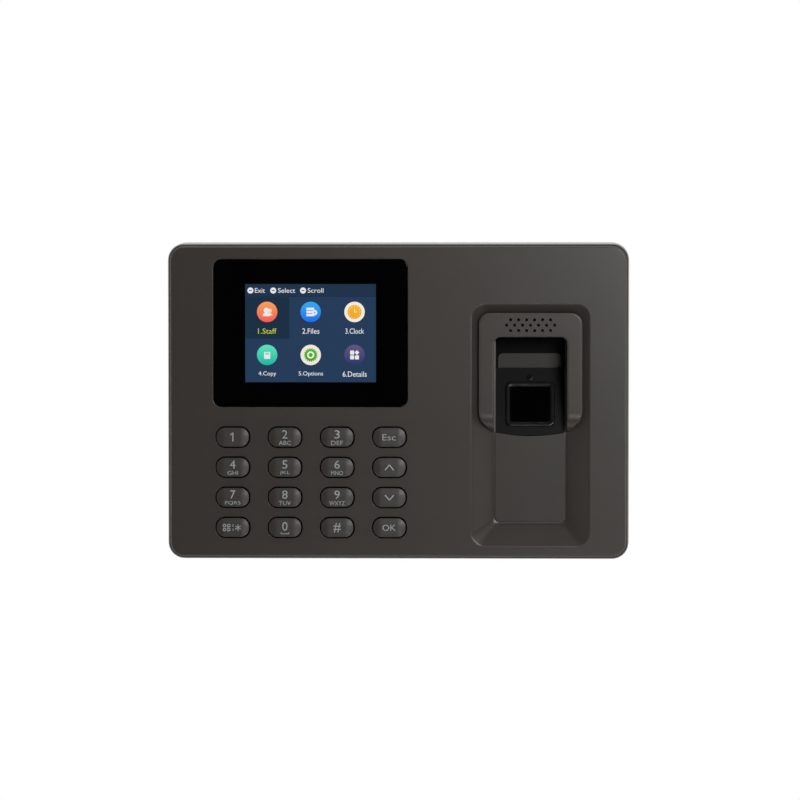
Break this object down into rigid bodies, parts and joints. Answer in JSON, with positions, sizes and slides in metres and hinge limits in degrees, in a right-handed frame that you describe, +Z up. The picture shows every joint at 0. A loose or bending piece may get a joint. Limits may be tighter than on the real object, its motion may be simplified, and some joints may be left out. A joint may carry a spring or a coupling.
{
  "type": "fingerprint time clock terminal",
  "caption": "Wall-mounted box with a colour display, a numeric keypad and a hooded optical fingerprint reader in a sloping finger recess.",
  "frame": {"origin": "centre of the four wall holes, on the back face of the wall bracket, which is the wall plane", "axes": "+X to the viewer's right across the front, +Y into the wall, +Z up the wall; the front looks along -Y"},
  "size_m": [0.1738, 0.0332, 0.1194],
  "materials": {
    "front_cover": "satin metallic paint on moulded plastic, fine flake",
    "rear_cover": "fine-grained moulded plastic",
    "display_window": "black-bordered flat window, clear over the picture",
    "window_tape": "matt black adhesive tape",
    "lcd_panel": "lit colour display behind a polariser",
    "lcd_frame": "thin stamped sheet",
    "lcd_foam": "closed-cell foam gasket",
    "lcd_flex": "amber polyimide film",
    "front_board": "green solder mask on glass laminate",
    "front_board_parts": "moulded chip packages and socket",
    "keypad_membrane": "translucent silicone rubber",
    "main_board": "green solder mask on glass laminate",
    "main_board_chips": "moulded chip packages",
    "main_board_parts": "cans, coils and crystal",
    "board_header": "moulded pin header",
    "wire_connectors": "moulded nylon",
    "usb_socket": "plated sheet shell",
    "usb_tongue": "white moulded tongue with contacts",
    "power_jack": "moulded barrel socket with plated pin",
    "battery_holder": "moulded holder",
    "clock_battery": "rolled steel coin cell",
    "reset_switch": "moulded tact switch",
    "reset_plunger": "moulded plunger",
    "board_screws": "zinc-plated steel",
    "front_board_screws": "zinc-plated steel",
    "sensor_holder": "satin black moulded plastic",
    "sensor_led": "small red indicator lens",
    "sensor_prism": "polished optical glass, dark from in front",
    "sensor_housing": "matt black moulded plastic",
    "sensor_screws": "zinc-plated steel",
    "sensor_lens": "black anodised barrel with glass elements",
    "camera_board": "green solder mask, sensor chip",
    "light_board": "green solder mask, small lamps",
    "sensor_board": "green solder mask on glass laminate",
    "sensor_cable": "grey ribbon cable",
    "speaker_frame": "black lacquered frame",
    "speaker_cone": "dark pressed paper cone",
    "speaker_mesh": "black acoustic gauze",
    "speaker_screws": "zinc-plated steel",
    "cover_screws": "zinc-plated steel",
    "wall_bracket": "galvanised sheet steel",
    "security_screw": "zinc-plated steel, hexagon socket",
    "key_caps": "satin painted moulded caps with pale printed legends"
  },
  "bodies": {
    "terminal": {"front_cover": "front_cover", "rear_cover": "rear_cover", "display_window": "display_window", "window_tape": "window_tape", "lcd_panel": "lcd_panel", "lcd_frame": "lcd_frame", "lcd_foam": "lcd_foam", "lcd_flex": "lcd_flex", "front_board": "front_board", "front_board_parts": "front_board_parts", "keypad_membrane": "keypad_membrane", "main_board": "main_board", "main_board_chips": "main_board_chips", "main_board_parts": "main_board_parts", "board_header": "board_header", "wire_connectors": "wire_connectors", "usb_socket": "usb_socket", "usb_tongue": "usb_tongue", "power_jack": "power_jack", "battery_holder": "battery_holder", "clock_battery": "clock_battery", "reset_switch": "reset_switch", "board_screws": "board_screws", "front_board_screws": "front_board_screws", "sensor_holder": "sensor_holder", "sensor_led": "sensor_led", "sensor_prism": "sensor_prism", "sensor_housing": "sensor_housing", "sensor_screws": "sensor_screws", "sensor_lens": "sensor_lens", "camera_board": "camera_board", "light_board": "light_board", "sensor_board": "sensor_board", "sensor_cable": "sensor_cable", "speaker_frame": "speaker_frame", "speaker_cone": "speaker_cone", "speaker_mesh": "speaker_mesh", "speaker_screws": "speaker_screws", "cover_screws": "cover_screws", "wall_bracket": "wall_bracket", "security_screw": "security_screw"},
    "key_1": {"key_1": "key_caps"},
    "key_2": {"key_2": "key_caps"},
    "key_3": {"key_3": "key_caps"},
    "key_esc": {"key_esc": "key_caps"},
    "key_4": {"key_4": "key_caps"},
    "key_5": {"key_5": "key_caps"},
    "key_6": {"key_6": "key_caps"},
    "key_up": {"key_up": "key_caps"},
    "key_7": {"key_7": "key_caps"},
    "key_8": {"key_8": "key_caps"},
    "key_9": {"key_9": "key_caps"},
    "key_down": {"key_down": "key_caps"},
    "key_menu": {"key_menu": "key_caps"},
    "key_0": {"key_0": "key_caps"},
    "key_hash": {"key_hash": "key_caps"},
    "key_ok": {"key_ok": "key_caps"},
    "reset_plunger": {"reset_plunger": "reset_plunger"}
  },
  "joints": [
    {"name": "key_1_press", "type": "slide", "parent": "terminal", "child": "key_1", "axis": [0, 1, 0], "range_m": [0, 0.0008], "stiffness_N_per_m": 1500, "deforming": ["keypad_membrane"]},
    {"name": "key_2_press", "type": "slide", "parent": "terminal", "child": "key_2", "axis": [0, 1, 0], "range_m": [0, 0.0008], "stiffness_N_per_m": 1500, "deforming": ["keypad_membrane"]},
    {"name": "key_3_press", "type": "slide", "parent": "terminal", "child": "key_3", "axis": [0, 1, 0], "range_m": [0, 0.0008], "stiffness_N_per_m": 1500, "deforming": ["keypad_membrane"]},
    {"name": "key_esc_press", "type": "slide", "parent": "terminal", "child": "key_esc", "axis": [0, 1, 0], "range_m": [0, 0.0008], "stiffness_N_per_m": 1500, "deforming": ["keypad_membrane"]},
    {"name": "key_4_press", "type": "slide", "parent": "terminal", "child": "key_4", "axis": [0, 1, 0], "range_m": [0, 0.0008], "stiffness_N_per_m": 1500, "deforming": ["keypad_membrane"]},
    {"name": "key_5_press", "type": "slide", "parent": "terminal", "child": "key_5", "axis": [0, 1, 0], "range_m": [0, 0.0008], "stiffness_N_per_m": 1500, "deforming": ["keypad_membrane"]},
    {"name": "key_6_press", "type": "slide", "parent": "terminal", "child": "key_6", "axis": [0, 1, 0], "range_m": [0, 0.0008], "stiffness_N_per_m": 1500, "deforming": ["keypad_membrane"]},
    {"name": "key_up_press", "type": "slide", "parent": "terminal", "child": "key_up", "axis": [0, 1, 0], "range_m": [0, 0.0008], "stiffness_N_per_m": 1500, "deforming": ["keypad_membrane"]},
    {"name": "key_7_press", "type": "slide", "parent": "terminal", "child": "key_7", "axis": [0, 1, 0], "range_m": [0, 0.0008], "stiffness_N_per_m": 1500, "deforming": ["keypad_membrane"]},
    {"name": "key_8_press", "type": "slide", "parent": "terminal", "child": "key_8", "axis": [0, 1, 0], "range_m": [0, 0.0008], "stiffness_N_per_m": 1500, "deforming": ["keypad_membrane"]},
    {"name": "key_9_press", "type": "slide", "parent": "terminal", "child": "key_9", "axis": [0, 1, 0], "range_m": [0, 0.0008], "stiffness_N_per_m": 1500, "deforming": ["keypad_membrane"]},
    {"name": "key_down_press", "type": "slide", "parent": "terminal", "child": "key_down", "axis": [0, 1, 0], "range_m": [0, 0.0008], "stiffness_N_per_m": 1500, "deforming": ["keypad_membrane"]},
    {"name": "key_menu_press", "type": "slide", "parent": "terminal", "child": "key_menu", "axis": [0, 1, 0], "range_m": [0, 0.0008], "stiffness_N_per_m": 1500, "deforming": ["keypad_membrane"]},
    {"name": "key_0_press", "type": "slide", "parent": "terminal", "child": "key_0", "axis": [0, 1, 0], "range_m": [0, 0.0008], "stiffness_N_per_m": 1500, "deforming": ["keypad_membrane"]},
    {"name": "key_hash_press", "type": "slide", "parent": "terminal", "child": "key_hash", "axis": [0, 1, 0], "range_m": [0, 0.0008], "stiffness_N_per_m": 1500, "deforming": ["keypad_membrane"]},
    {"name": "key_ok_press", "type": "slide", "parent": "terminal", "child": "key_ok", "axis": [0, 1, 0], "range_m": [0, 0.0008], "stiffness_N_per_m": 1500, "deforming": ["keypad_membrane"]},
    {"name": "reset_press", "type": "slide", "parent": "terminal", "child": "reset_plunger", "axis": [0, -1, 0], "range_m": [0, 0.00025], "stiffness_N_per_m": 4000}
  ]
}
